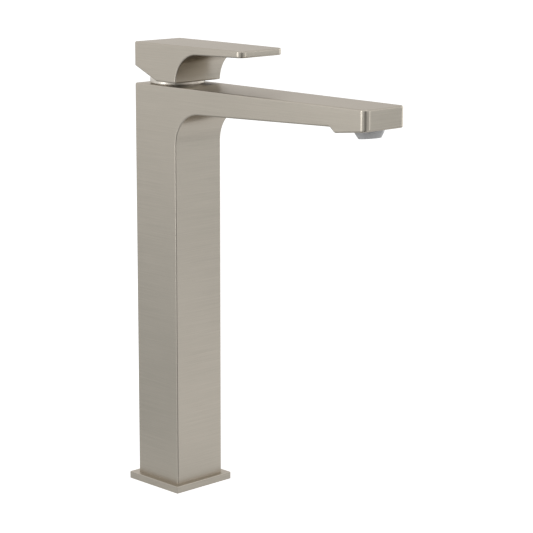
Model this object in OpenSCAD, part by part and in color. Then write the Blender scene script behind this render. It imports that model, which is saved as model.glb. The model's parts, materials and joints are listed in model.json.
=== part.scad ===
// Tall single-lever basin mixer with a square column, a flat tapered spout and a plate lever.
// Millimetres. Z is up, the spout points along -Y, the origin is the middle of the foot's underside.

/* [Column] */
// Width of each side of the square column
column_w = 45; // [43:0.5:60]
// Height of the body's level top above the deck
body_h = 306.5; // [200:0.5:400]
// Wall of the hollow column
column_wall = 3; // [2:0.25:4]

/* [Base plate] */
// How far the square base plate stands out round the column
plate_margin = 5; // [4:0.5:15]
// Thickness of the base plate
plate_t = 5.5; // [3:0.25:10]

/* [Spout] */
// Distance from the column's axis to the end of the spout
spout_reach = 209; // [150:1:260]
// Width of the spout at its tip
spout_tip_w = 40; // [34:0.5:45]
// Depth of the spout where the arch ends
spout_root_t = 18.5; // [17:0.25:24]
// Depth of the spout just behind the aerator boss
spout_neck_t = 14.2; // [13:0.1:16]
// Depth of the aerator boss at its back edge
boss_back_t = 18; // [17:0.25:22]
// Depth of the spout's upright end face
spout_tip_t = 14.9; // [13:0.1:17]
// Length of the aerator boss along the spout
boss_len = 28.6; // [27:0.2:34]
// Length of the slanted step in front of the boss
step_run = 4.4; // [3:0.2:8]
// Radius at the top of the slanted step
step_r = 2.5; // [1:0.25:4]
// Radius of the arch between column and spout
arch_r = 24; // [15:0.5:40]
// Radius of the spout's two upright tip corners
tip_corner_r = 5; // [2:0.25:8]
// Wall of the hollow spout
spout_wall = 3; // [2:0.25:3.5]

/* [Lever] */
// Height of the lever's level top above the body's top
lever_rise = 30.5; // [26.5:0.5:45]
// Distance from the column's axis to the end of the lever plate
lever_reach = 90.5; // [75:0.5:140]
// Width of the lever plate at its tip
lever_tip_w = 42; // [36:0.5:45]
// Thickness of the lever plate where it leaves the block
lever_root_t = 6; // [4:0.25:8]
// Thickness of the lever plate at its tip
lever_tip_t = 4.9; // [3:0.1:7]
// Height of the gap between body and lever block
lever_lift_gap = 2.6; // [2.5:0.1:5]
// Slope of the block's rear underside, which clears the lift
rear_slope = 22.8; // [22.8:0.1:26]
// How far in front of the axis the rear slope ends
rear_slope_y = 1.5; // [0:0.25:5]
// Wall of the hollow lever block
lever_wall = 3.5; // [2.5:0.25:4]
// Wall of the block's skirt, which hides the collar
skirt_wall = 1.5; // [1.3:0.1:1.6]
// Radius of the lever plate's two tip corners
lever_corner_r = 5; // [2:0.25:8]

/* [Lever motion] */
// Angle that the lever lifts to open the water fully
lift_max = 22; // [15:0.5:22]
// Depth of the lift pin below the body's top
pin_drop = 0.5; // [0:0.1:1.5]
// Length of the spindle's lower arm, from pin to ball
arm_len = 13; // [11:0.25:14]

/* [Cartridge] */
// Diameter of the cartridge housing
cartridge_d = 35; // [35:0.5:36]
// Diameter of the cartridge chamber in the body
chamber_d = 36; // [36:0.5:37]
// Diameter of the thread for the retaining nut
nut_thread_d = 38; // [38:0.5:39]
// Wall of the cartridge housing
housing_wall = 1.9; // [1.5:0.1:2.2]
// Diameter of the rotor's neck
neck_d = 23; // [22:0.5:23.5]
// Width of the spindle's square bar
spindle_w = 7; // [6:0.25:8]
// Diameter of the lift pin
pin_d = 3; // [2:0.25:4]
// Diameter of the ball at the spindle's lower end
ball_d = 5; // [4.5:0.25:5.5]
// Diameter of the moving ceramic disc
moving_disc_d = 20; // [19.5:0.25:20.5]
// Thickness of each ceramic disc
disc_t = 3.5; // [2.5:0.25:4]

/* [Collar ring] */
// Diameter of the polished collar ring
collar_d = 40.8; // [39.5:0.1:41]
// Height at which the collar's upright side ends
collar_edge_h = 3.6; // [3:0.1:3.8]
// Radius of the collar's upper edge
collar_edge_r = 2; // [1.5:0.1:2.2]
// Radius of the collar's domed top
dome_r = 49; // [40:1:70]

/* [Aerator] */
// Diameter of the aerator's thread in the spout
aerator_thread_d = 24; // [23:0.5:24]
// Distance from the end of the spout to the aerator's centre
aerator_inset = 15; // [14:0.25:16]
// Diameter of the nozzle where it leaves the spout
nozzle_d = 20.4; // [18:0.1:20.4]
// Diameter of the nozzle's mouth
nozzle_tip_d = 15.8; // [12:0.1:17]
// How far the nozzle stands out of the spout
nozzle_h = 5.4; // [3:0.1:7]
// Height of the nozzle's cylindrical rim
nozzle_rim_h = 1.3; // [0.5:0.1:1.5]
// Diameter of the nozzle's ball
nozzle_ball_d = 21.8; // [21.6:0.1:22]

/* [Connections] */
// Distance of each hose socket from the column's axis
hose_x = 10.5; // [10:0.25:11]
// Wall diameter of a hose socket, tapped M10 x 1
hose_bore_d = 9; // [8.5:0.1:9.5]
// Depth of a hose socket
hose_depth = 12; // [9:0.5:14]
// Wall diameter of the fixing stud's socket, tapped M8
stud_bore_d = 6.8; // [6:0.1:7]
// Depth of the fixing stud's socket
stud_depth = 16; // [10:0.5:18]
// Outer diameter of a riser pipe
pipe_d = 8; // [7:0.25:8.5]
// Wall of a riser pipe
pipe_wall = 0.8; // [0.5:0.1:1.2]

/* [Hidden] */
$fn = 72;

// Overrun of every cut past the face it opens
over = 1;
// Gap between seated pieces of one body
fit_gap = 0.05;
// Radial gap of a running fit
run_gap = 0.06;
// Gap between moving pieces that never touch
free_gap = 0.35;

// Brushed nickel, polished nickel, brass, ceramic, grey plastic and rubber
nickel = [0.66, 0.63, 0.58];
polished = [0.80, 0.78, 0.74];
brass = [0.78, 0.62, 0.34];
ceramic = [0.93, 0.92, 0.88];
grey_plastic = [0.57, 0.58, 0.60];
white_plastic = [0.88, 0.88, 0.86];
black_rubber = [0.10, 0.10, 0.10];

half_w = column_w / 2;
plate_w = column_w + 2 * plate_margin;
inner_half = half_w - column_wall;

// Underside line of the spout: height at any distance in front of the axis
root_y = half_w + arch_r;
boss_y = spout_reach - boss_len;
step_y = boss_y - step_run;
under_rise = (spout_root_t - spout_neck_t) / (step_y - root_y);
function under_z(dist) = body_h - spout_root_t + (dist - root_y) * under_rise;
under_angle = atan(under_rise);
arch_z = under_z(root_y) - arch_r / cos(under_angle);

// Boss face: height, and tilt of the aerator's axis
boss_rise = (boss_back_t - spout_tip_t) / boss_len;
boss_angle = atan(boss_rise);
function boss_z(dist) = body_h - boss_back_t + (dist - boss_y) * boss_rise;

// Cartridge levels, from the lift pin down
pin_z = body_h - pin_drop;
ball_z = pin_z - arm_len;
ball_drop = 0.5;
carrier_bottom = ball_z - ball_d / 2 - ball_drop;
carrier_h = 0.92 * ball_d;
rotor_bottom = carrier_bottom + carrier_h + free_gap;
rotor_flange_t = 5;
moving_bottom = carrier_bottom - disc_t;
fixed_bottom = moving_bottom - disc_t;
base_t = 7;
base_flange_t = 3;
base_bottom = fixed_bottom - base_t;
seat_t = 14;
seat_bottom = base_bottom - seat_t;
ledge_t = 4;
ledge_r = 15;
neck_rise = 4.5;
neck_top = pin_z + neck_rise;
lip_bottom = rotor_bottom + rotor_flange_t + fit_gap;
lip_t = 2;
housing_top = lip_bottom + lip_t;
housing_r = cartridge_d / 2;
housing_inner = housing_r - housing_wall;
chamber_r = chamber_d / 2;
thread_r = nut_thread_d / 2;
thread_depth = 8;
neck_r = neck_d / 2;
seal_w = 1.8;

// Lever block
lever_top = body_h + lever_rise;
block_bottom = body_h + lever_lift_gap;
block_r = lever_top - lever_root_t - block_bottom;
plate_start = half_w + block_r;
rear_edge_z = block_bottom + (half_w + rear_slope_y) * tan(rear_slope);
ceiling_z = lever_top - 2 * lever_wall;
hub_half = 7.5;
hub_gap = 4.1;
hub_bottom = neck_top + hub_gap;
spindle_gap = 4;
spindle_top = ceiling_z - spindle_gap;

// Aerator axis frame: the middle of the hole in the boss face
aerator_y = spout_reach - aerator_inset;
aerator_z = boss_z(aerator_y);
aerator_r = aerator_thread_d / 2;
socket_h = 9.6;
washer_t = 1;
throat_r = 9.4;
ball_depth = 3.2;

// Turns its children so that -Z points out of the spout along the aerator's axis
module at_aerator() {
    translate([0, -aerator_y, aerator_z]) rotate([-boss_angle, 0, 0]) children();
}

// Extrudes a side outline, drawn as [distance in front, height], across the width
module across(width) {
    rotate([90, 0, -90]) translate([0, 0, -width / 2]) linear_extrude(width) children();
}

// Ring with a rectangular section
module ring(outer_r, inner_r, height) {
    difference() {
        cylinder(r = outer_r, h = height);
        translate([0, 0, -over]) cylinder(r = inner_r, h = height + 2 * over);
    }
}

// Round-section seal lying on the XY plane's level
module o_ring(outer_r, section_r) {
    rotate_extrude() translate([outer_r - section_r, 0]) circle(r = section_r);
}

// Upright block whose plan is a straight bar that narrows to a tip with two round corners.
// The bar starts behind the axis, keeps its width to the column's front face and then tapers.
module bar_block(height, root_half, tip_half, reach, corner_r, back, front) {
    taper = atan((root_half - tip_half) / (reach - front));
    inset = corner_r * (1 - sin(taper)) / cos(taper);
    cx = tip_half - inset;
    cy = reach - corner_r;
    side_x = cx + corner_r * cos(taper);
    side_y = cy + corner_r * sin(taper);
    linear_extrude(height) polygon([
        [-root_half, back], [root_half, back], [root_half, -front], [side_x, -side_y],
        [cx, -cy], [cx, -reach], [-cx, -reach], [-cx, -cy], [-side_x, -side_y],
        [-root_half, -front]
    ]);
    for (side = [-1, 1]) translate([side * cx, -cy, 0]) cylinder(r = corner_r, h = height);
}

// Side outline of the body, before the arch is cut
step_slope = atan((boss_back_t - spout_neck_t) / step_run);
step_open = 180 - step_slope - under_angle;
step_tangent = step_r / tan(step_open / 2);
step_top = [step_y, body_h - spout_neck_t];
step_in = step_top + step_tangent * [-cos(under_angle), -sin(under_angle)];
step_out = step_top + step_tangent * [cos(step_slope), -sin(step_slope)];
step_centre = step_in + step_r * [sin(under_angle), -cos(under_angle)];
arch_in = [root_y - arch_r * sin(under_angle), arch_z + arch_r * cos(under_angle)];

module body_side() {
    polygon([
        [-half_w, plate_t], [-half_w, body_h], [spout_reach, body_h],
        [spout_reach, body_h - spout_tip_t], [boss_y, body_h - boss_back_t],
        step_out, step_centre, step_in, arch_in, [root_y, arch_z],
        [half_w, arch_z], [half_w, plate_t]
    ]);
}

// Waterway in the spout, before the arch is offset: it starts at the chamber's front wall
water_front = chamber_r + spout_wall + free_gap;
water_floor = fixed_bottom;
water_roof = body_h - spout_wall;
gallery_end = aerator_y + throat_r;
module waterway_side() {
    polygon([
        [water_front, water_floor], [water_front, water_roof], [gallery_end, water_roof],
        [gallery_end, water_roof - spout_wall], [step_y - spout_wall, water_roof - spout_wall],
        [step_y - spout_wall, under_z(step_y) + spout_wall],
        [root_y, under_z(root_y) + spout_wall], [root_y, water_floor]
    ]);
}

module waterway() {
    difference() {
        intersection() {
            across(column_w) waterway_side();
            translate([0, 0, water_floor - over])
                bar_block(body_h, half_w - spout_wall, spout_tip_w / 2 - spout_wall,
                    spout_reach - spout_wall, tip_corner_r - spout_wall / 2, 0, half_w);
        }
        translate([-half_w, -root_y, arch_z]) rotate([0, 90, 0])
            cylinder(r = arch_r + spout_wall, h = column_w);
    }
}

// Corner pads in the column's foot that take the foot screws
pad_w = 9;
pad_h = 20;
flange_t = 6;
pad_centre = inner_half - pad_w / 2;
foot_screw_r = 2;
module at_corners() {
    for (x = [-1, 1], y = [-1, 1]) translate([x * pad_centre, y * pad_centre, 0]) children();
}

module corner_pads() {
    for (x = [-1, 1], y = [-1, 1])
        translate([x * (pad_centre + over / 2), y * (pad_centre + over / 2), pad_h / 2])
            cube([pad_w + over, pad_w + over, pad_h], center = true);
}

mouth_half = 12;
mouth_h = 7.5;
module body_shell() {
    color(nickel) difference() {
        intersection() {
            difference() {
                across(column_w + 2 * over) body_side();
                translate([-column_w, -root_y, arch_z]) rotate([0, 90, 0])
                    cylinder(r = arch_r, h = 2 * column_w, $fn = 180);
                translate([-column_w, -step_centre[0], step_centre[1]]) rotate([0, 90, 0])
                    cylinder(r = step_r, h = 2 * column_w);
            }
            bar_block(body_h + over, half_w, spout_tip_w / 2, spout_reach, tip_corner_r,
                half_w, half_w);
        }
        // Hollow of the column below the cartridge chamber
        difference() {
            translate([-inner_half, -inner_half, plate_t - over])
                cube([2 * inner_half, 2 * inner_half, seat_bottom - ledge_t - plate_t + over]);
            translate([0, 0, plate_t + flange_t]) corner_pads();
        }
        at_corners() cylinder(r = foot_screw_r, h = plate_t + flange_t + pad_h - column_wall);
        // Ledge hole, chamber and thread
        translate([0, 0, seat_bottom - ledge_t - over]) cylinder(r = ledge_r, h = ledge_t + 2 * over);
        translate([0, 0, seat_bottom]) cylinder(r = chamber_r, h = body_h);
        translate([0, 0, body_h - thread_depth]) cylinder(r = thread_r, h = thread_depth + over);
        // Waterway and its mouth in the chamber wall
        waterway();
        translate([-mouth_half, -water_front - over, water_floor])
            cube([2 * mouth_half, water_front, mouth_h]);
        at_aerator() {
            translate([0, 0, -spout_wall]) cylinder(r = aerator_r, h = spout_wall + socket_h + washer_t);
            cylinder(r = throat_r, h = socket_h + washer_t + over);
        }
    }
}

// Foot: base plate, its seal, and the block that takes the hoses and the fixing stud
boss_inset = 1.5;
boss_r = inner_half - boss_inset;
boss_gap = 0.3;
base_seal_r = 24.5;
base_seal_w = 3;
base_seal_t = 1.5;
module base_plate() {
    color(nickel) difference() {
        translate([-plate_w / 2, -plate_w / 2, 0]) cube([plate_w, plate_w, plate_t]);
        translate([0, 0, -over]) cylinder(r = boss_r + boss_gap, h = plate_t + 2 * over);
        translate([0, 0, -over])
            ring(base_seal_r, base_seal_r - base_seal_w, base_seal_t + over);
    }
}

module base_seal() {
    color(black_rubber) ring(base_seal_r - fit_gap, base_seal_r - base_seal_w + fit_gap, base_seal_t);
}

pipe_x = 8;
pipe_y = 3;
pipe_r = pipe_d / 2;
block_top = 30;
socket_depth = 8;
pad_gap = 1.5;
block_half_y = inner_half - pad_w - pad_gap;
pipe_bottom = block_top - socket_depth;
pipe_top = seat_bottom + socket_depth;
block_gap = 0.2;
passage_r = 3;
screw_head_r = 3.6;
screw_head_h = 3.5;
module at_pipes(sides = [-1, 1]) {
    for (side = sides) translate([side * pipe_x, pipe_y, 0]) children();
}

module inlet_block() {
    flange_half = inner_half - block_gap;
    color(brass) difference() {
        union() {
            cylinder(r = boss_r, h = plate_t + over);
            translate([-flange_half, -flange_half, plate_t])
                cube([2 * flange_half, 2 * flange_half, flange_t]);
            translate([-flange_half, -block_half_y, plate_t])
                cube([2 * flange_half, 2 * block_half_y, block_top - plate_t]);
        }
        translate([0, 0, -over]) cylinder(r = stud_bore_d / 2, h = stud_depth + over);
        for (side = [-1, 1]) {
            translate([side * hose_x, 0, -over]) cylinder(r = hose_bore_d / 2, h = hose_depth + over);
            translate([side * hose_x, 0, hose_depth - over])
                cylinder(r = passage_r, h = pipe_bottom - hose_depth + 2 * over);
        }
        translate([0, 0, pipe_bottom]) at_pipes()
            cylinder(r = pipe_r + fit_gap, h = socket_depth + over);
        at_corners() {
            cylinder(r = foot_screw_r + block_gap, h = plate_t + flange_t + over);
            translate([0, 0, plate_t]) cylinder(r = screw_head_r + block_gap, h = screw_head_h);
        }
    }
}

// Cheese-head screws from below into the pads, each with a hexagon socket
screw_len = 16;
key_r = 1.7;
module foot_screws() {
    color("silver") at_corners() translate([0, 0, plate_t]) difference() {
        union() {
            cylinder(r = screw_head_r, h = screw_head_h);
            cylinder(r = foot_screw_r - fit_gap, h = screw_head_h + screw_len);
        }
        translate([0, 0, -over]) cylinder(r = key_r, h = screw_head_h / 2 + over, $fn = 6);
    }
}

module riser_pipe(side) {
    color("peru") translate([0, 0, pipe_bottom]) at_pipes([side])
        ring(pipe_r, pipe_r - pipe_wall, pipe_top - pipe_bottom);
}

// Two round seals on each pipe: in the block's counterbores and in the seat's
pipe_seal_r = 0.9;
module pipe_seals() {
    rise = pipe_seal_r + fit_gap;
    color(black_rubber) at_pipes() for (level = [block_top + rise, seat_bottom - rise])
        translate([0, 0, level]) o_ring(pipe_r + fit_gap + 2 * pipe_seal_r, pipe_seal_r);
}

// Inlet ports of the cartridge, on the line where the discs meet them
port_r = 2.6;
port_ring = 7.5;
port_angle = 52.5;
module at_ports() {
    for (side = [-1, 1])
        translate([side * port_ring * cos(port_angle), port_ring * sin(port_angle), 0]) children();
}

groove_h = 2;
seal_level = 4;
module valve_seat() {
    color(brass) translate([0, 0, seat_bottom]) difference() {
        cylinder(r = chamber_r - fit_gap, h = seat_t);
        translate([0, 0, seal_level]) ring(chamber_r + over, chamber_r - seal_w, groove_h);
        translate([0, 0, -over]) at_pipes() cylinder(r = pipe_r + fit_gap, h = socket_depth + over);
        translate([0, 0, socket_depth - over]) at_ports() cylinder(r = port_r, h = seat_t);
    }
}

chamber_seal_r = 0.85;
module chamber_seal(level) {
    color(black_rubber) translate([0, 0, level]) o_ring(chamber_r - fit_gap, chamber_seal_r);
}

// Cartridge: base with two ports, fixed disc with two curved ports, and the housing round them
seal_recess = 1;
module cartridge_base() {
    color(white_plastic) translate([0, 0, base_bottom]) difference() {
        union() {
            cylinder(r = housing_r - fit_gap, h = base_flange_t);
            cylinder(r = housing_inner - fit_gap, h = base_t);
        }
        translate([0, 0, -over]) at_ports() {
            cylinder(r = port_r, h = base_t + 2 * over);
            cylinder(r = port_r + seal_w - fit_gap, h = seal_recess + over);
        }
    }
}

module cartridge_seals() {
    color(black_rubber) translate([0, 0, base_bottom]) at_ports()
        ring(port_r + seal_w - 2 * fit_gap, port_r + fit_gap, seal_recess);
}

// Curved port between two radii, spread to both sides of the port's angle
port_half_w = 1.3;
port_spread = 20;
module curved_port(side) {
    far = 2 * port_ring;
    intersection() {
        ring(port_ring + port_half_w, port_ring - port_half_w, disc_t + 2 * over);
        linear_extrude(disc_t + 2 * over) polygon([
            [0, 0],
            far * [side * cos(port_angle - port_spread), sin(port_angle - port_spread)],
            far * [side * cos(port_angle + port_spread), sin(port_angle + port_spread)]
        ]);
    }
}

module fixed_disc() {
    color(ceramic) translate([0, 0, fixed_bottom]) difference() {
        cylinder(r = housing_inner - fit_gap, h = disc_t);
        for (side = [-1, 1]) translate([0, 0, -over]) curved_port(side);
    }
}

window_w = 9;
window_h = 6;
housing_seal_level = rotor_bottom + groove_h / 2 + run_gap;
module cartridge_housing() {
    color(white_plastic) difference() {
        translate([0, 0, base_bottom + base_flange_t])
            cylinder(r = housing_r, h = housing_top - base_bottom - base_flange_t);
        translate([0, 0, base_bottom]) cylinder(r = housing_inner, h = lip_bottom - base_bottom);
        translate([0, 0, lip_bottom - over]) cylinder(r = neck_r + free_gap, h = lip_t + 2 * over);
        // Windows that let the mixed water out into the chamber
        for (turn = [0, 90]) rotate(turn) translate([-window_w / 2, -2 * housing_r, moving_bottom])
            cube([window_w, 4 * housing_r, window_h]);
        translate([0, 0, housing_seal_level - groove_h / 2])
            ring(housing_r + over, chamber_r - seal_w, groove_h);
    }
}

// The moving disc and its carrier slide together as the lever lifts
module moving_disc() {
    color(ceramic) translate([0, 0, moving_bottom]) cylinder(r = moving_disc_d / 2, h = disc_t);
}

rail_x = 8.5;
rail_w = 2.5;
rail_len = 18;
rail_h = 3.5;
pocket_gap = 0.25;
module disc_carrier() {
    color(white_plastic) translate([0, 0, carrier_bottom]) difference() {
        intersection() {
            cylinder(r = moving_disc_d / 2, h = carrier_h);
            translate([-rail_x, -moving_disc_d, 0]) cube([2 * rail_x, 2 * moving_disc_d, carrier_h]);
        }
        translate([0, 0, -over]) cylinder(r = ball_d / 2 + pocket_gap, h = carrier_h + 2 * over);
    }
}

// Rotor: flange with two guide rails, neck, and the slot that the spindle swings in
bar_half = spindle_w / 2;
slot_gap = 0.35;
function swing(level) = bar_half / cos(lift_max) + level * tan(lift_max);
swing_level = (bar_half / cos(lift_max) - bar_half) / tan(lift_max);
module rotor_slot() {
    low = pin_z - rotor_bottom;
    high = neck_rise + over;
    near = bar_half + slot_gap;
    rotate([90, 0, -90]) translate([0, 0, -near]) linear_extrude(2 * near) polygon([
        [near, high], [near, swing_level], [swing(low) + slot_gap, -low],
        [swing(low) + slot_gap, -low - over], [-near, -low - over],
        [-near, -swing_level], [-swing(high) - slot_gap, high]
    ]);
}

module cartridge_rotor() {
    color(grey_plastic) difference() {
        union() {
            translate([0, 0, rotor_bottom])
                cylinder(r = housing_inner - run_gap, h = rotor_flange_t);
            translate([0, 0, rotor_bottom]) cylinder(r = neck_r, h = neck_top - rotor_bottom);
            for (side = [-1, 1]) translate([0, 0, rotor_bottom - rail_h]) intersection() {
                cylinder(r = housing_inner - free_gap, h = rail_h + over);
                translate([side * (rail_x + free_gap + rail_w / 2) - rail_w / 2, -rail_len / 2, 0])
                    cube([rail_w, rail_len, rail_h + over]);
            }
        }
        translate([0, 0, pin_z]) rotor_slot();
        translate([-neck_r - over, 0, pin_z]) rotate([0, 90, 0])
            cylinder(r = pin_d / 2 + fit_gap, h = 2 * neck_r + 2 * over);
    }
}

module lift_pin() {
    color("silver") translate([-neck_r + slot_gap, 0, pin_z]) rotate([0, 90, 0])
        cylinder(r = pin_d / 2, h = 2 * (neck_r - slot_gap));
}

// Spindle: square bar on the pin, a thin arm and a ball that drives the carrier
bar_below = 9;
arm_r = 1.8;
module spindle() {
    color("silver") difference() {
        union() {
            translate([-bar_half, -bar_half, pin_z - bar_below])
                cube([spindle_w, spindle_w, spindle_top - pin_z + bar_below]);
            translate([0, 0, ball_z]) cylinder(r = arm_r, h = arm_len - bar_below + over);
            translate([0, 0, ball_z]) sphere(r = ball_d / 2);
        }
        translate([-spindle_w, 0, pin_z]) rotate([0, 90, 0])
            cylinder(r = pin_d / 2 + run_gap, h = 2 * spindle_w);
    }
}

// Retaining nut with four spanner slots, and the domed collar ring that covers it
nut_t = 3.2;
nut_slot_w = 3;
nut_slot_h = 1.4;
module retaining_nut() {
    color(brass) translate([0, 0, housing_top + fit_gap]) difference() {
        ring(thread_r - fit_gap, neck_r + 2 * free_gap, nut_t);
        for (turn = [45, 135]) rotate(turn)
            translate([-thread_r - over, -nut_slot_w / 2, nut_t - nut_slot_h])
                cube([2 * (thread_r + over), nut_slot_w, nut_slot_h + over]);
    }
}

spigot_h = 1;
spigot_w = 2;
shadow_h = 0.6;
shadow_w = 0.8;
collar_gap = 2.8;
collar_bore_r = neck_r + collar_gap;
module collar_ring() {
    collar_r = collar_d / 2;
    shoulder_r = collar_r - collar_edge_r;
    shoulder_z = body_h + collar_edge_h + collar_edge_r;
    color(polished) difference() {
        union() {
            translate([0, 0, body_h]) cylinder(r = collar_r - shadow_w, h = collar_edge_h);
            translate([0, 0, body_h + shadow_h])
                cylinder(r = collar_r, h = collar_edge_h - shadow_h);
            translate([0, 0, body_h + collar_edge_h])
                rotate_extrude() translate([shoulder_r, 0]) circle(r = collar_edge_r);
            intersection() {
                translate([0, 0, body_h]) cylinder(r = shoulder_r, h = collar_r);
                translate([0, 0, shoulder_z - sqrt(pow(dome_r, 2) - pow(shoulder_r, 2))])
                    sphere(r = dome_r, $fn = 180);
            }
            translate([0, 0, body_h - spigot_h])
                ring(thread_r - fit_gap, thread_r - spigot_w, spigot_h + shadow_h);
        }
        translate([0, 0, body_h - over]) cylinder(r = collar_bore_r, h = collar_r);
    }
}

// Lever: a hollow block on the spindle that runs out into the tapered plate
module lever_side() {
    polygon([
        [-half_w, lever_top], [lever_reach, lever_top], [lever_reach, lever_top - lever_tip_t],
        [plate_start, lever_top - lever_root_t], [plate_start, block_bottom],
        [half_w, block_bottom], [rear_slope_y, block_bottom], [-half_w, rear_edge_z]
    ]);
}

// The hollow under the block, and the wider pocket inside the skirt, which clears the collar
rib_gap = 0.2;
rib_bottom = rear_edge_z + rib_gap;
rib_half = hub_half - 2 * slot_gap;
skirt_top = hub_bottom;
module hollow(wall, top) {
    half = half_w - wall;
    difference() {
        translate([-half, -plate_start, block_bottom - over])
            cube([2 * half, plate_start + half, top - block_bottom + over]);
        translate([-column_w, -plate_start, block_bottom]) rotate([0, 90, 0])
            cylinder(r = block_r + wall, h = 2 * column_w, $fn = 180);
    }
}

module lever_hollow() {
    difference() {
        union() {
            hollow(lever_wall, ceiling_z);
            hollow(skirt_wall, skirt_top);
        }
        // Hub round the spindle, and the rib that ties it to the rear wall
        translate([-hub_half, -hub_half, hub_bottom])
            cube([2 * hub_half, 2 * hub_half, ceiling_z]);
        translate([-rib_half, 0, rib_bottom]) cube([2 * rib_half, column_w, ceiling_z]);
    }
}

grub_r = 2.5;
grub_len = 8;
grub_key_r = 1.45;
plug_r = 2.9;
plug_t = 3;
plug_recess = 0.2;
grub_z = (rear_edge_z + spindle_top) / 2 + fit_gap;
grub_y = bar_half + fit_gap;
module along_rear(start) {
    translate([0, start, grub_z]) rotate([-90, 0, 0]) children();
}

module lever() {
    color(nickel) difference() {
        intersection() {
            difference() {
                across(column_w + 2 * over) lever_side();
                translate([-column_w, -plate_start, block_bottom]) rotate([0, 90, 0])
                    cylinder(r = block_r, h = 2 * column_w, $fn = 180);
            }
            translate([0, 0, body_h])
                bar_block(lever_top, half_w, lever_tip_w / 2, lever_reach, lever_corner_r,
                    half_w, half_w);
        }
        lever_hollow();
        translate([-bar_half - fit_gap, -bar_half - fit_gap, hub_bottom - over])
            cube([2 * grub_y, 2 * grub_y, spindle_top + fit_gap - hub_bottom + over]);
        along_rear(0) cylinder(r = grub_r, h = half_w);
        along_rear(half_w - plug_t - plug_recess) cylinder(r = plug_r, h = plug_t + 2 * over);
    }
}

module grub_screw() {
    color("silver") along_rear(grub_y) difference() {
        cylinder(r = grub_r - fit_gap, h = grub_len);
        translate([0, 0, grub_len / 2]) cylinder(r = grub_key_r, h = grub_len, $fn = 6);
    }
}

module screw_plug() {
    color(nickel) along_rear(half_w - plug_t - plug_recess)
        cylinder(r = plug_r - fit_gap, h = plug_t);
}

// Aerator: threaded socket with a ball seat, and the nozzle that tilts in it
ball_r = nozzle_ball_d / 2;
relief_w = 1.25;
relief_r = aerator_r - relief_w;
relief_h = 0.36;
module aerator_socket() {
    color(grey_plastic) at_aerator() difference() {
        cylinder(r = aerator_r - fit_gap, h = socket_h);
        translate([0, 0, ball_depth]) sphere(r = ball_r + run_gap);
        translate([0, 0, -over]) cylinder(r = relief_r, h = over);
        cylinder(r1 = relief_r, r2 = relief_r - relief_h, h = relief_h);
    }
}

module aerator_washer() {
    color(black_rubber) at_aerator() translate([0, 0, socket_h])
        ring(aerator_r - fit_gap, throat_r + fit_gap, washer_t - fit_gap);
}

ball_top = 7.7;
nozzle_bore_r = 7;
mouth_lip = 0.7;
mouth_lip_h = 0.9;
disc_seat = 5.2;
flow_disc_r = 8;
module aerator_nozzle() {
    rim_r = nozzle_d / 2;
    color(grey_plastic) at_aerator() difference() {
        union() {
            intersection() {
                translate([0, 0, ball_depth]) sphere(r = ball_r);
                cylinder(r = 2 * ball_r, h = ball_top);
            }
            translate([0, 0, -nozzle_rim_h]) cylinder(r = rim_r, h = nozzle_rim_h + over);
            translate([0, 0, -nozzle_h])
                cylinder(r1 = nozzle_tip_d / 2, r2 = rim_r, h = nozzle_h - nozzle_rim_h);
        }
        translate([0, 0, mouth_lip_h - nozzle_h]) cylinder(r = nozzle_bore_r, h = 2 * ball_top);
        translate([0, 0, -nozzle_h - over])
            cylinder(r = nozzle_bore_r - mouth_lip, h = 2 * over + mouth_lip_h);
        translate([0, 0, disc_seat]) cylinder(r = flow_disc_r, h = ball_top);
    }
}

mesh_t = 1;
mesh_pitch = 2.2;
mesh_web = 0.6;
module aerator_mesh() {
    hole = mesh_pitch - mesh_web;
    count = floor(nozzle_bore_r / mesh_pitch);
    color(white_plastic) at_aerator() translate([0, 0, mouth_lip_h - nozzle_h]) difference() {
        cylinder(r = nozzle_bore_r - fit_gap, h = mesh_t);
        for (i = [-count:count], j = [-count:count])
            if (norm([i, j]) * mesh_pitch < nozzle_bore_r - mesh_pitch / 2)
                translate([i * mesh_pitch - hole / 2, j * mesh_pitch - hole / 2, -over])
                    cube([hole, hole, mesh_t + 2 * over]);
    }
}

flow_disc_t = 2;
flow_hole_r = 0.8;
module flow_disc() {
    color(white_plastic) at_aerator() translate([0, 0, disc_seat]) difference() {
        cylinder(r = flow_disc_r - fit_gap, h = flow_disc_t);
        for (turn = [0:30:330]) rotate(turn) translate([flow_disc_r * 2 / 3, 0, -over])
            cylinder(r = flow_hole_r, h = flow_disc_t + 2 * over);
    }
}

body_shell();
base_plate();
base_seal();
inlet_block();
foot_screws();
riser_pipe(1);  // cold_inlet_pipe
riser_pipe(-1);  // hot_inlet_pipe
pipe_seals();
valve_seat();
chamber_seal(seat_bottom + seal_level + groove_h / 2);  // valve_seat_seal
cartridge_base();
cartridge_seals();
cartridge_housing();
chamber_seal(housing_seal_level);  // housing_seal
fixed_disc();
retaining_nut();
collar_ring();
moving_disc();
disc_carrier();
cartridge_rotor();
lift_pin();
spindle();
lever();
grub_screw();
screw_plug();
aerator_socket();
aerator_washer();
aerator_nozzle();
aerator_mesh();
flow_disc();
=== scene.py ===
# Tall basin mixer in brushed nickel: its finishes, its rounded edges, the studio and the camera.
import json
import math

import bmesh
import bpy
from mathutils import Matrix, Vector
from mathutils.bvhtree import BVHTree

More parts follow.
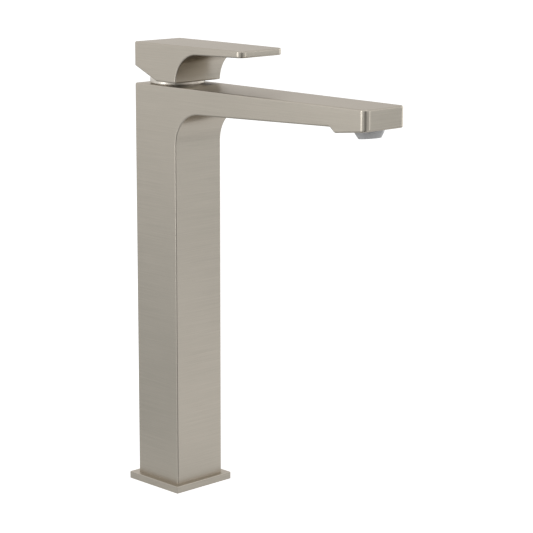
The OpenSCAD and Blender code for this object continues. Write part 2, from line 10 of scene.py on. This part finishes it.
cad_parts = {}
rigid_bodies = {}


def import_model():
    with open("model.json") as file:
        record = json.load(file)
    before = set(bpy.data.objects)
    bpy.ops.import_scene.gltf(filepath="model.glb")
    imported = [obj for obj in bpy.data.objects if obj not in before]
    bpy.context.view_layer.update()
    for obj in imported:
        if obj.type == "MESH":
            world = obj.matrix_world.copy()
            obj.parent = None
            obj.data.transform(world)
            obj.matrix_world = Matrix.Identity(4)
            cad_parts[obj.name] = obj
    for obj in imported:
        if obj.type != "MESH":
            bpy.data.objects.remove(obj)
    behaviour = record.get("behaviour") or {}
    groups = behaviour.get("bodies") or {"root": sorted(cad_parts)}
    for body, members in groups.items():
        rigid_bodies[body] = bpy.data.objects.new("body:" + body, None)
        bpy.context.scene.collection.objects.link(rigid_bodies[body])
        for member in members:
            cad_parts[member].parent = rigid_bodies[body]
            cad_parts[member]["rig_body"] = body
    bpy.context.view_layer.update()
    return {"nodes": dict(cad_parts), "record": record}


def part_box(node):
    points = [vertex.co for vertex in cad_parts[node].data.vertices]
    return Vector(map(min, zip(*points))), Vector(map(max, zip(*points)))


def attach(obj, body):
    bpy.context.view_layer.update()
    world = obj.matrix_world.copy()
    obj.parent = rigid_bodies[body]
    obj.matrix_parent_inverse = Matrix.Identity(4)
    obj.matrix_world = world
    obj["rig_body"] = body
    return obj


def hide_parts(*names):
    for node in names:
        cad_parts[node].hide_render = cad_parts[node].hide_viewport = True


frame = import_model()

MM = 0.001

# Camera, fitted to the edges of the photograph
CAMERA_PLACE = Vector((-961.1, -1083.2, 466.6)) * MM
CAMERA_AZIMUTH = -44.201
CAMERA_ELEVATION = 11.69
CAMERA_ROLL = 0.142
FOCAL_PIXELS = 1953.5
PICTURE_PIXELS = 533

# Sizes that the pieces share with the solids
PLATE_TOP = 5.5 * MM
BODY_TOP = 306.5 * MM
CHAMBER_R = 19 * MM
BOSS_LENGTH = 28.6 * MM
BOSS_RISE = 3.1 * MM
BOSS_BACK_THICKNESS = 18 * MM
BOSS_START_Y = -180.4 * MM
BOSS_ANGLE = math.atan(BOSS_RISE / BOSS_LENGTH)
AERATOR_R = 12 * MM
AERATOR_Y = -194 * MM
AERATOR_Z = BODY_TOP - BOSS_BACK_THICKNESS + (BOSS_START_Y - AERATOR_Y) * BOSS_RISE / BOSS_LENGTH
GRID_BOTTOM = -4.5 * MM
STUD_SOCKET = {"radius": 3.4 * MM, "pitch": 1.25 * MM, "length": 13 * MM, "count": 1, "spacing": 0.0}
HOSE_SOCKETS = {"radius": 4.5 * MM, "pitch": 1.0 * MM, "length": 9.5 * MM, "count": 2, "spacing": 21 * MM}

# The lever's hollow, with a little room, and the hole for the plug in its rear face
HOLLOW_HALF_WIDTH = 21.2 * MM
HOLLOW_HALF_DEPTH = 22 * MM
HOLLOW_TOP = 325 * MM
PLUG_HOLE_R = 4 * MM
PLUG_HOLE_START_Y = 10 * MM

# Radius of each piece's rounded outer edges
BODY_EDGE = 1.2 * MM
LEVER_EDGE = 1.1 * MM
PLATE_EDGE = 0.4 * MM
COLLAR_EDGE = 0.25 * MM
PLATE_OUTLINE_START_R = 26 * MM
# How near an edge has to be to a covered rim to stay sharp
FOOT_MARGIN = 0.5 * MM
RIM_MARGIN = 1.0 * MM
COLLAR_MARGIN = 0.1 * MM


def object_of(name, mesh, material):
    """A new object in the scene: one mesh in one material."""
    mesh.materials.clear()
    mesh.materials.append(material)
    piece = bpy.data.objects.new(name, mesh)
    bpy.context.scene.collection.objects.link(piece)
    return piece


def new_material(name):
    material = bpy.data.materials.new(name)
    material.use_nodes = True
    return material


class Nodes:
    """Short calls that add nodes to a tree."""

    def __init__(self, tree):
        self.tree = tree

    def join(self, source, target):
        self.tree.links.new(source, target)

    def node(self, kind, inputs=None, **settings):
        made = self.tree.nodes.new(kind)
        for label, value in settings.items():
            setattr(made, label, value)
        for key, value in (inputs or {}).items():
            if isinstance(value, bpy.types.NodeSocket):
                self.join(value, made.inputs[key])
            else:
                made.inputs[key].default_value = value
        return made

    def math(self, operation, *values):
        return self.node("ShaderNodeMath", dict(enumerate(values)), operation=operation).outputs[0]

    def vector(self, x=0.0, y=0.0, z=0.0):
        return self.node("ShaderNodeCombineXYZ", {0: x, 1: y, 2: z}).outputs[0]


NOISE_ROUGHNESS = 0.6


class Finish(Nodes):
    """A material under construction: a Principled shader and the nodes that feed it."""

    def __init__(self, name, **constants):
        self.material = new_material(name)
        super().__init__(self.material.node_tree)
        self.tree.nodes.clear()
        output = self.tree.nodes.new("ShaderNodeOutputMaterial")
        self.shader = self.tree.nodes.new("ShaderNodeBsdfPrincipled")
        self.join(self.shader.outputs[0], output.inputs[0])
        for label, value in constants.items():
            self.shader.inputs[label.replace("_", " ")].default_value = value

    def place(self):
        return self.node("ShaderNodeTexCoord").outputs["Object"]

    def noise(self, stretch, detail, shift=0.0):
        """Noise of about 0 to 1 with features 1 / stretch metres long along each axis."""
        mapping = self.node(
            "ShaderNodeMapping", {"Vector": self.place(), "Location": (shift,) * 3, "Scale": stretch})
        texture = self.node(
            "ShaderNodeTexNoise",
            {"Vector": mapping.outputs[0], "Scale": 1.0, "Detail": detail, "Roughness": NOISE_ROUGHNESS})
        return texture.outputs["Fac"]

    def span(self, value, low, high, start=0.25, end=0.75):
        """Turns a value between start and end into one between low and high."""
        return self.node("ShaderNodeMapRange", {
            "Value": value, "From Min": start, "From Max": end, "To Min": low, "To Max": high,
        }).outputs[0]

    def blend(self, factor, first, second):
        return self.node(
            "ShaderNodeMix", {0: factor, 6: first, 7: second}, data_type="RGBA").outputs[2]

    def mix_value(self, factor, first, second):
        return self.node("ShaderNodeMix", {0: factor, 2: first, 3: second}, data_type="FLOAT").outputs[0]

    def bump(self, height, distance, strength):
        return self.node("ShaderNodeBump", {
            "Height": height, "Distance": distance, "Strength": strength}).outputs[0]

    def feed(self, **values):
        for label, value in values.items():
            self.join(value, self.shader.inputs[label.replace("_", " ")])
        return self.material


# Brush marks: how many fit in a metre across the marks and along them
MARKS_ACROSS = 1500
MARKS_ALONG = 16
FINE_ACROSS = 5200
FINE_ALONG = 60
# How far a face looks up where the marks start to turn front to back, and where they have turned
TURN_START = 0.62
TURN_END = 0.78
NICKEL_DARK = (0.437, 0.402, 0.346, 1.0)
NICKEL_LIGHT = (0.533, 0.489, 0.424, 1.0)


def brushed_nickel(name):
    """Satin nickel. The marks lie level round the upright faces and run front to back on level ones."""
    finish = Finish(name, Metallic=1.0, Anisotropic=0.55, Specular_Tint=(0.78, 0.75, 0.72, 1.0))
    normal = finish.node("ShaderNodeTexCoord").outputs["Normal"]
    upward = finish.node("ShaderNodeSeparateXYZ", {0: normal}).outputs["Z"]
    level = finish.span(finish.math("ABSOLUTE", upward), 0.0, 1.0, TURN_START, TURN_END)

    def marks(across, along, detail, shift):
        upright = finish.noise((along, along, across), detail, shift=shift)
        flat = finish.noise((across, along, along), detail, shift=shift)
        return finish.mix_value(level, upright, flat)

    streaks = marks(MARKS_ACROSS, MARKS_ALONG, 3.0, 0.3)
    hairs = marks(FINE_ACROSS, FINE_ALONG, 2.0, 1.7)
    clouds = finish.noise((9, 9, 9), 2.0, shift=4.1)
    depth = finish.math("ADD", finish.math("MULTIPLY", streaks, 0.6), finish.math("MULTIPLY", hairs, 0.4))
    tone = finish.math("ADD", finish.math("MULTIPLY", depth, 0.8), finish.math("MULTIPLY", clouds, 0.2))
    colour = finish.blend(finish.span(tone, 0.0, 1.0, 0.3, 0.7), NICKEL_DARK, NICKEL_LIGHT)
    across = finish.node(
        "ShaderNodeMix", {0: level, 4: finish.vector(z=1.0), 5: finish.vector(x=1.0)},
        data_type="VECTOR").outputs[1]
    tangent = finish.node(
        "ShaderNodeVectorTransform", {0: across},
        vector_type="VECTOR", convert_from="OBJECT", convert_to="WORLD").outputs[0]
    return finish.feed(
        Base_Color=colour,
        Roughness=finish.span(depth, 0.31, 0.37),
        Normal=finish.bump(depth, 0.012 * MM, 0.4),
        Tangent=tangent)


def polished_nickel(name):
    finish = Finish(name, Metallic=1.0)
    haze = finish.noise((60, 60, 60), 3.0)
    turning = finish.noise((1500, 1500, 1500), 1.0, shift=2.0)
    return finish.feed(
        Base_Color=finish.blend(haze, (0.62, 0.58, 0.52, 1.0), (0.70, 0.66, 0.60, 1.0)),
        Roughness=finish.span(haze, 0.32, 0.38),
        Normal=finish.bump(turning, 0.004 * MM, 0.4))


def moulded_plastic(name, dark, light, roughness):
    finish = Finish(name, Metallic=0.0, IOR=1.5)
    grain = finish.noise((4200, 4200, 4200), 2.0)
    clouds = finish.noise((90, 90, 90), 2.0, shift=3.0)
    return finish.feed(
        Base_Color=finish.blend(clouds, (*dark, 1.0), (*light, 1.0)),
        Roughness=finish.span(grain, roughness - 0.05, roughness + 0.07),
        Normal=finish.bump(grain, 0.01 * MM, 0.5))


def machined_metal(name, dark, light, roughness):
    finish = Finish(name, Metallic=1.0)
    turning = finish.noise((300, 300, 5200), 2.0)
    stain = finish.noise((110, 110, 110), 3.0, shift=5.0)
    return finish.feed(
        Base_Color=finish.blend(stain, (*dark, 1.0), (*light, 1.0)),
        Roughness=finish.span(turning, roughness - 0.07, roughness + 0.09),
        Normal=finish.bump(turning, 0.01 * MM, 0.6))


def seal_rubber(name):
    finish = Finish(name, Metallic=0.0, IOR=1.52)
    grain = finish.noise((2600, 2600, 2600), 2.0)
    return finish.feed(
        Base_Color=finish.blend(grain, (0.012, 0.012, 0.013, 1.0), (0.030, 0.030, 0.031, 1.0)),
        Roughness=finish.span(grain, 0.55, 0.75),
        Normal=finish.bump(grain, 0.02 * MM, 0.5))


def lapped_ceramic(name):
    finish = Finish(name, Metallic=0.0, IOR=1.7)
    speckle = finish.noise((1800, 1800, 1800), 2.0)
    return finish.feed(
        Base_Color=finish.blend(speckle, (0.78, 0.77, 0.73, 1.0), (0.86, 0.85, 0.82, 1.0)),
        Roughness=finish.span(speckle, 0.14, 0.24),
        Normal=finish.bump(speckle, 0.004 * MM, 0.3))


FINISHES = {
    "brushed_nickel": brushed_nickel("brushed_nickel"),
    "polished_nickel": polished_nickel("polished_nickel"),
    "grey_plastic": moulded_plastic("grey_plastic", (0.580, 0.582, 0.585), (0.630, 0.632, 0.635), 0.32),
    "white_plastic": moulded_plastic("white_plastic", (0.66, 0.66, 0.64), (0.74, 0.74, 0.72), 0.42),
    "brass": machined_metal("brass", (0.62, 0.44, 0.19), (0.74, 0.55, 0.27), 0.30),
    "copper": machined_metal("copper", (0.66, 0.35, 0.22), (0.76, 0.44, 0.30), 0.34),
    "steel": machined_metal("steel", (0.50, 0.50, 0.50), (0.62, 0.62, 0.61), 0.28),
    "rubber": seal_rubber("rubber"),
    "ceramic_white": lapped_ceramic("ceramic_white"),
}


def dress_nodes():
    """Gives every solid the finish of its slot in the record."""
    for row in frame["record"]["subparts"]:
        slots = frame["nodes"][row["node"]].data.materials
        slots.clear()
        slots.append(FINISHES[row["material_slot"]])


EDGE_SEGMENTS = 4
SHARP_ANGLE = math.radians(28)
FLAT_ANGLE = math.radians(0.4)
WELD = 0.002 * MM
LIFT_OFF = 0.02 * MM


def rounded(node, radius, skip):
    """A copy of a solid whose outer edges are rounded, apart from those that skip names."""
    body = frame["nodes"][node]["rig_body"]
    slot = next(row["material_slot"] for row in frame["record"]["subparts"] if row["node"] == node)
    work = bmesh.new()
    work.from_mesh(frame["nodes"][node].data)
    bmesh.ops.remove_doubles(work, verts=work.verts, dist=WELD)
    bmesh.ops.dissolve_limit(work, angle_limit=FLAT_ANGLE, verts=work.verts, edges=work.edges)
    work.normal_update()
    hull = BVHTree.FromBMesh(work)

    def outer(edge):
        if not edge.is_manifold or edge.calc_face_angle(0.0) < SHARP_ANGLE:
            return False
        middle = (edge.verts[0].co + edge.verts[1].co) / 2
        away = (edge.link_faces[0].normal + edge.link_faces[1].normal).normalized()
        clear = hull.ray_cast(middle + away * LIFT_OFF, away)[0] is None
        return clear and edge.is_convex and not skip(middle)

    edges = [edge for edge in work.edges if outer(edge)]
    bmesh.ops.bevel(
        work, geom=edges, offset=radius, offset_type="OFFSET", segments=EDGE_SEGMENTS, profile=0.5,
        affect="EDGES", clamp_overlap=False)
    for face in work.faces:
        face.smooth = True
    for edge in work.edges:
        edge.smooth = not edge.is_manifold or edge.calc_face_angle(0.0) < SHARP_ANGLE
    mesh = bpy.data.meshes.new(node + "_rounded")
    work.to_mesh(mesh)
    work.free()
    piece = object_of(node + "_rounded", mesh, FINISHES[slot])
    weights = piece.modifiers.new("weighted normals", "WEIGHTED_NORMAL")
    weights.keep_sharp = True
    weights.weight = 80
    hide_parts(node)
    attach(piece, body)


def covered_rim(point):
    """Rims of the body that meet another piece: the foot, the chamber's mouth and the aerator's hole."""
    at_foot = point.z < PLATE_TOP + FOOT_MARGIN
    in_chamber = math.hypot(point.x, point.y) < CHAMBER_R + RIM_MARGIN
    in_aerator = math.hypot(point.x, point.y - AERATOR_Y) < AERATOR_R + RIM_MARGIN
    return at_foot or in_chamber or (in_aerator and point.z < BODY_TOP - RIM_MARGIN)


def inside_the_lever(point):
    """Edges of the lever's hollow, and the rim of the hole for the plug in its rear face."""
    low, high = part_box("screw_plug")
    beside = abs(point.x) < HOLLOW_HALF_WIDTH and abs(point.y) < HOLLOW_HALF_DEPTH
    plug_off = math.hypot(point.x, point.z - (low[2] + high[2]) / 2)
    at_plug = plug_off < PLUG_HOLE_R and point.y > PLUG_HOLE_START_Y
    return (beside and point.z < HOLLOW_TOP) or at_plug


def inner_plate_edge(point):
    """Edges of the base plate inside its square outline."""
    return math.hypot(point.x, point.y) < PLATE_OUTLINE_START_R


def collar_foot(point):
    """Edges of the collar that sit below the body's top."""
    return point.z < BODY_TOP - COLLAR_MARGIN


class Pattern(Nodes):
    """A Geometry Nodes tree whose sizes are named inputs, and the plain mesh that it makes."""

    def __init__(self, name, **sizes):
        super().__init__(bpy.data.node_groups.new(name, "GeometryNodeTree"))
        self.name = name
        self.sizes = sizes
        sockets = self.tree.interface
        sockets.new_socket("Geometry", in_out="OUTPUT", socket_type="NodeSocketGeometry")
        self.keys = {}
        for label, value in sizes.items():
            kind = "NodeSocketInt" if isinstance(value, int) else "NodeSocketFloat"
            self.keys[label] = sockets.new_socket(label, in_out="INPUT", socket_type=kind).identifier
        self.given = self.tree.nodes.new("NodeGroupInput").outputs

    def moved(self, geometry, shift, turn=(0, 0, 0)):
        return self.node(
            "GeometryNodeTransform",
            {"Geometry": geometry, "Translation": shift, "Rotation": turn}).outputs[0]

    def joined(self, *geometries):
        both = self.tree.nodes.new("GeometryNodeJoinGeometry")
        for geometry in reversed(geometries):
            self.join(geometry, both.inputs[0])
        return both.outputs[0]

    def piece(self, geometry, slot):
        real = self.node("GeometryNodeRealizeInstances", {0: geometry}).outputs[0]
        coated = self.node("GeometryNodeSetMaterial", {"Geometry": real, "Material": FINISHES[slot]})
        self.join(coated.outputs[0], self.tree.nodes.new("NodeGroupOutput").inputs[0])
        host = object_of(self.name, bpy.data.meshes.new(self.name + "_empty"), FINISHES[slot])
        modifier = host.modifiers.new(self.name, "NODES")
        modifier.node_group = self.tree
        for label, value in self.sizes.items():
            modifier[self.keys[label]] = value
        graph = bpy.context.evaluated_depsgraph_get()
        mesh = bpy.data.meshes.new_from_object(host.evaluated_get(graph), depsgraph=graph)
        host.modifiers.remove(modifier)
        mesh.materials.clear()
        mesh.materials.append(FINISHES[slot])
        host.data = mesh
        return host


LAYER_SHARE = 0.65
RIM_STEPS = 64


def outlet_grid():
    """Two layers of crossed webs in a rim, seated on the lip of the nozzle's mouth."""
    grid = Pattern(
        "outlet_grid", Radius=6.95 * MM, Rim=1.0 * MM, Pitch=2.2 * MM, Web=0.6 * MM,
        Height=1.0 * MM, Webs=6)
    size = grid.given
    half = grid.math("MULTIPLY", grid.math("SUBTRACT", size["Webs"], 1.0), 0.5)
    first = grid.math("MULTIPLY", grid.math("MULTIPLY", half, size["Pitch"]), -1.0)
    line = grid.node("GeometryNodeMeshLine", {
        "Count": size["Webs"], "Start Location": grid.vector(y=first),
        "Offset": grid.vector(y=size["Pitch"])})
    reach = grid.math("SUBTRACT", size["Radius"], grid.math("MULTIPLY", size["Rim"], 0.5))
    place = grid.node("ShaderNodeSeparateXYZ", {0: grid.node("GeometryNodeInputPosition").outputs[0]})
    aside = grid.math("MULTIPLY", place.outputs["Y"], place.outputs["Y"])
    chord = grid.math("SQRT", grid.math("SUBTRACT", grid.math("MULTIPLY", reach, reach), aside))
    layer = grid.math("MULTIPLY", size["Height"], LAYER_SHARE)
    bar = grid.node("GeometryNodeMeshCube", {"Size": grid.vector(1.0, size["Web"], layer)})
    webs = grid.node("GeometryNodeInstanceOnPoints", {
        "Points": line.outputs[0], "Instance": bar.outputs[0],
        "Scale": grid.vector(grid.math("MULTIPLY", chord, 2.0), 1.0, 1.0)}).outputs[0]
    low = grid.math("MULTIPLY", layer, 0.5)
    high = grid.math("SUBTRACT", size["Height"], low)
    lower = grid.moved(webs, grid.vector(z=low))
    upper = grid.moved(webs, grid.vector(z=high), (0, 0, math.pi / 2))
    circle = grid.node("GeometryNodeCurvePrimitiveCircle", {"Resolution": RIM_STEPS, "Radius": reach})
    section = grid.node("GeometryNodeCurvePrimitiveQuadrilateral", {
        "Width": size["Rim"], "Height": size["Height"]})
    rim = grid.node("GeometryNodeCurveToMesh", {
        "Curve": circle.outputs[0], "Profile Curve": section.outputs[0]}).outputs[0]
    rim = grid.moved(rim, grid.vector(z=grid.math("MULTIPLY", size["Height"], 0.5)))
    seated = grid.moved(grid.joined(lower, upper, rim), (0, 0, GRID_BOTTOM))
    tilted = grid.moved(seated, (0, AERATOR_Y, AERATOR_Z), (-BOSS_ANGLE, 0, 0))
    piece = grid.piece(tilted, "white_plastic")
    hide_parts("aerator_mesh")
    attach(piece, "nozzle")


RIDGE_SHARE = 0.3
RIDGE_PROUD = 0.12 * MM
RIDGE_SIDES = 4
TURN_STEPS = 40


def thread_turns(name, radius, pitch, length, count, spacing):
    """Turns of an inside thread in each of a row of sockets: the crests stand just proud of the wall."""
    thread = Pattern(
        name, Radius=radius, Pitch=pitch, Length=length, Ridge=pitch * RIDGE_SHARE, Proud=RIDGE_PROUD,
        Sockets=count, Spacing=spacing)
    size = thread.given
    off = thread.math("SUBTRACT", size["Ridge"], size["Proud"])
    along = thread.math("ADD", size["Radius"], off)
    spiral = thread.node("GeometryNodeCurveSpiral", {
        "Resolution": TURN_STEPS, "Rotations": thread.math("DIVIDE", size["Length"], size["Pitch"]),
        "Start Radius": along, "End Radius": along, "Height": size["Length"]})
    upright = thread.node("GeometryNodeSetCurveNormal", {"Curve": spiral.outputs[0]}, mode="Z_UP")
    section = thread.node(
        "GeometryNodeCurvePrimitiveCircle", {"Resolution": RIDGE_SIDES, "Radius": size["Ridge"]})
    turns = thread.node("GeometryNodeCurveToMesh", {
        "Curve": upright.outputs[0], "Profile Curve": section.outputs[0], "Fill Caps": True})
    first = thread.math("MULTIPLY", size["Spacing"], -0.5)
    row = thread.node("GeometryNodeMeshLine", {
        "Count": size["Sockets"], "Start Location": thread.vector(first, 0.0, size["Pitch"]),
        "Offset": thread.vector(size["Spacing"])})
    placed = thread.node("GeometryNodeInstanceOnPoints", {
        "Points": row.outputs[0], "Instance": turns.outputs[0]})
    piece = thread.piece(placed.outputs[0], "brass")
    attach(piece, "mixer_body")


def make_pieces():
    outlet_grid()
    thread_turns("stud_thread", **STUD_SOCKET)
    thread_turns("hose_threads", **HOSE_SOCKETS)
    rounded("body_shell", BODY_EDGE, covered_rim)
    rounded("lever", LEVER_EDGE, inside_the_lever)
    rounded("base_plate", PLATE_EDGE, inner_plate_edge)
    rounded("collar_ring", COLLAR_EDGE, collar_foot)


FLOOR_SIZE = 60.0
FLOOR_GREY = (0.5, 0.5, 0.5, 1.0)
FLOOR_GLOW = 0.86
PLAIN = (1.0, 1.0, 1.0)
COOL = (0.93, 1.0, 1.01)
# The paper in the metal: metres to the tap's left plus those behind it, with the level and the tint there
FLOOR_IN_METAL = (
    (-2.4, 0.30, COOL), (-1.7, 0.15, COOL), (-1.0, 0.27, PLAIN), (-0.3, 0.56, PLAIN),
    (0.3, 0.23, COOL), (1.2, 0.20, COOL), (1.65, 0.25, COOL), (2.0, 0.66, PLAIN))
WORLD_LEVEL = 0.55
CEILING_IN_METAL = ((0.35, 1.0, PLAIN), (0.75, 0.9, PLAIN))


def tinted(level, tint):
    return (*(level * part for part in tint), 1.0)


class Surround(Nodes):
    """The nodes of what stands round the tap: one colour seen straight, another one in the metal."""

    def __init__(self, tree, output):
        super().__init__(tree)
        tree.nodes.clear()
        self.end = tree.nodes.new(output).inputs[0]
        self.path = tree.nodes.new("ShaderNodeLightPath").outputs

    def seen_at_all(self):
        """1 for rays that the camera sends, straight or by way of metal and glass."""
        total = self.path["Is Camera Ray"]
        for label in ("Is Glossy Ray", "Is Transmission Ray"):
            total = self.node(
                "ShaderNodeMath", {0: total, 1: self.path[label]}, operation="ADD", use_clamp=True).outputs[0]
        return total

    def seen_or_mirrored(self, seen, mirrored):
        """A level for what the camera sees straight, a colour for what the metal mirrors, else black."""
        straight = self.math("MULTIPLY", self.path["Is Camera Ray"], seen)
        gloss = self.math("ADD", self.path["Is Glossy Ray"], self.path["Is Transmission Ray"])
        return self.node(
            "ShaderNodeVectorMath", {0: gloss, 1: mirrored, 2: straight},
            operation="MULTIPLY_ADD").outputs[0]

    def graded(self, value, stops):
        """Turns a value into the colour that the stops give, each stop a value, its level and its tint."""
        first = stops[0][0]
        last = stops[-1][0]
        share = self.node("ShaderNodeMapRange", {"Value": value, "From Min": first, "From Max": last})
        colours = self.node("ShaderNodeValToRGB", {0: share.outputs[0]})
        ramp = colours.color_ramp.elements
        for place, level, tint in stops[1:-1]:
            ramp.new((place - first) / (last - first)).color = tinted(level, tint)
        ramp[0].color = tinted(*stops[0][1:])
        ramp[-1].color = tinted(*stops[-1][1:])
        return colours.outputs[0]


def make_floor():
    """White paper: it takes the shadow, glows enough to stay white, and is greyer in the metal."""
    mesh = bpy.data.meshes.new("floor")
    half = FLOOR_SIZE / 2
    mesh.from_pydata(
        [(-half, -half, 0), (half, -half, 0), (half, half, 0), (-half, half, 0)], [], [(0, 1, 2, 3)])
    material = new_material("white_paper")
    nodes = Surround(material.node_tree, "ShaderNodeOutputMaterial")
    paper = nodes.node("ShaderNodeBsdfDiffuse", {"Color": FLOOR_GREY})
    place = nodes.node("ShaderNodeTexCoord").outputs["Object"]
    axes = nodes.node("ShaderNodeSeparateXYZ", {0: place}).outputs
    grey = nodes.graded(nodes.math("SUBTRACT", axes["Y"], axes["X"]), FLOOR_IN_METAL)
    glow = nodes.node("ShaderNodeEmission", {"Color": nodes.seen_or_mirrored(FLOOR_GLOW, grey)})
    both = nodes.node("ShaderNodeAddShader", {0: paper.outputs[0], 1: glow.outputs[0]})
    nodes.join(both.outputs[0], nodes.end)
    object_of("floor", mesh, material)


def make_world():
    """White all round, with a slightly darker ceiling that only the metal shows."""
    world = bpy.data.worlds.new("studio")
    bpy.context.scene.world = world
    world.use_nodes = True
    nodes = Surround(world.node_tree, "ShaderNodeOutputWorld")
    room = nodes.node("ShaderNodeBackground", {"Strength": WORLD_LEVEL, "Color": (1.0, 1.0, 1.0, 1.0)})
    direction = nodes.node("ShaderNodeTexCoord").outputs["Generated"]
    height = nodes.node("ShaderNodeSeparateXYZ", {0: direction}).outputs["Z"]
    white = nodes.node("ShaderNodeBackground", {
        "Color": nodes.seen_or_mirrored(1.0, nodes.graded(height, CEILING_IN_METAL))})
    mix = nodes.node("ShaderNodeMixShader", {0: nodes.seen_at_all(), 1: room.outputs[0], 2: white.outputs[0]})
    nodes.join(mix.outputs[0], nodes.end)


TAP_MIDDLE = (0.0, -0.05, 0.18)
TAP_TOP = (0.0, -0.03, 0.33)
# Name, place, what it is aimed at, width, height and watts
SOFTBOXES = (
    ("overhead", (-0.5, -0.9, 1.6), TAP_MIDDLE, 1.2, 1.2, 3.0),
    ("left_strip", (-1.52, 0.36, 0.5), TAP_MIDDLE, 0.6, 1.0, 5.0),
    ("right_strip", (0.65, -1.35, 0.30), TAP_MIDDLE, 0.4, 0.6, 1.0),
    ("right_fill", (0.9, -0.22, 0.36), TAP_TOP, 0.7, 0.7, 1.9))
# Name, direction in degrees, distance, width, height and level, and whether it has a tongue
DARK_CARDS = (
    ("camera_side_card", 236.6, 0.82, 0.36, 0.9, 0.25, False),
    ("low_card", 242.0, 0.78, 0.52, 0.10, 0.12, True))
TONGUE_START = 55 * MM
CARD_LIFT = 0.5 * MM


def softbox(name, place, target, width, height, watts):
    lamp = bpy.data.lights.new(name, "AREA")
    lamp.shape = "RECTANGLE"
    lamp.size = width
    lamp.size_y = height
    lamp.energy = watts
    holder = bpy.data.objects.new(name, lamp)
    bpy.context.scene.collection.objects.link(holder)
    holder.location = place
    holder.rotation_euler = (Vector(target) - Vector(place)).to_track_quat("-Z", "Y").to_euler()
    holder.visible_camera = False


def dark_card(name, angle, distance, width, height, level, tongue):
    """A card that only the metal mirrors: it draws the dark lines on the rounded corners.

    Its tongue lies on the floor and narrows from the card's foot towards the tap.
    """
    turn = math.radians(angle)
    outward = Vector((math.cos(turn), math.sin(turn), 0))
    across = Vector((-math.sin(turn), math.cos(turn), 0)) * width / 2
    lift = Vector((0, 0, CARD_LIFT))
    foot = outward * distance + lift
    top = Vector((0, 0, height))
    corners = [foot - across, foot + across, foot + across + top, foot - across + top]
    faces = [(0, 1, 2, 3)]
    if tongue:
        near = outward * TONGUE_START + lift
        taper = across * TONGUE_START / distance
        corners += [near - taper, near + taper]
        faces.append((4, 5, 1, 0))
    mesh = bpy.data.meshes.new(name)
    mesh.from_pydata(corners, [], faces)
    material = new_material(name)
    nodes = Surround(material.node_tree, "ShaderNodeOutputMaterial")
    grey = nodes.node("ShaderNodeEmission", {"Strength": level})
    nodes.join(grey.outputs[0], nodes.end)
    card = object_of(name, mesh, material)
    card.visible_camera = False
    card.visible_diffuse = False
    card.visible_shadow = False


def make_lights():
    for row in SOFTBOXES:
        softbox(*row)
    for row in DARK_CARDS:
        dark_card(*row)


def make_camera():
    azimuth = math.radians(CAMERA_AZIMUTH)
    elevation = math.radians(CAMERA_ELEVATION)
    roll = math.radians(CAMERA_ROLL)
    back = Vector((
        math.sin(azimuth) * math.cos(elevation), -math.cos(azimuth) * math.cos(elevation),
        math.sin(elevation)))
    level = Vector((math.cos(azimuth), math.sin(azimuth), 0))
    upward = back.cross(level)
    right = level * math.cos(roll) + upward * math.sin(roll)
    up = upward * math.cos(roll) - level * math.sin(roll)
    camera = bpy.data.cameras.new("camera")
    camera.lens = FOCAL_PIXELS / PICTURE_PIXELS * camera.sensor_width
    camera.clip_start = 0.05
    camera.clip_end = 100
    holder = bpy.data.objects.new("camera", camera)
    bpy.context.scene.collection.objects.link(holder)
    holder.matrix_world = Matrix.Translation(CAMERA_PLACE) @ Matrix((right, up, back)).transposed().to_4x4()
    bpy.context.scene.camera = holder


make_camera()
dress_nodes()
make_pieces()
make_floor()
make_world()
make_lights()
bpy.context.scene.view_settings.view_transform = "Standard"
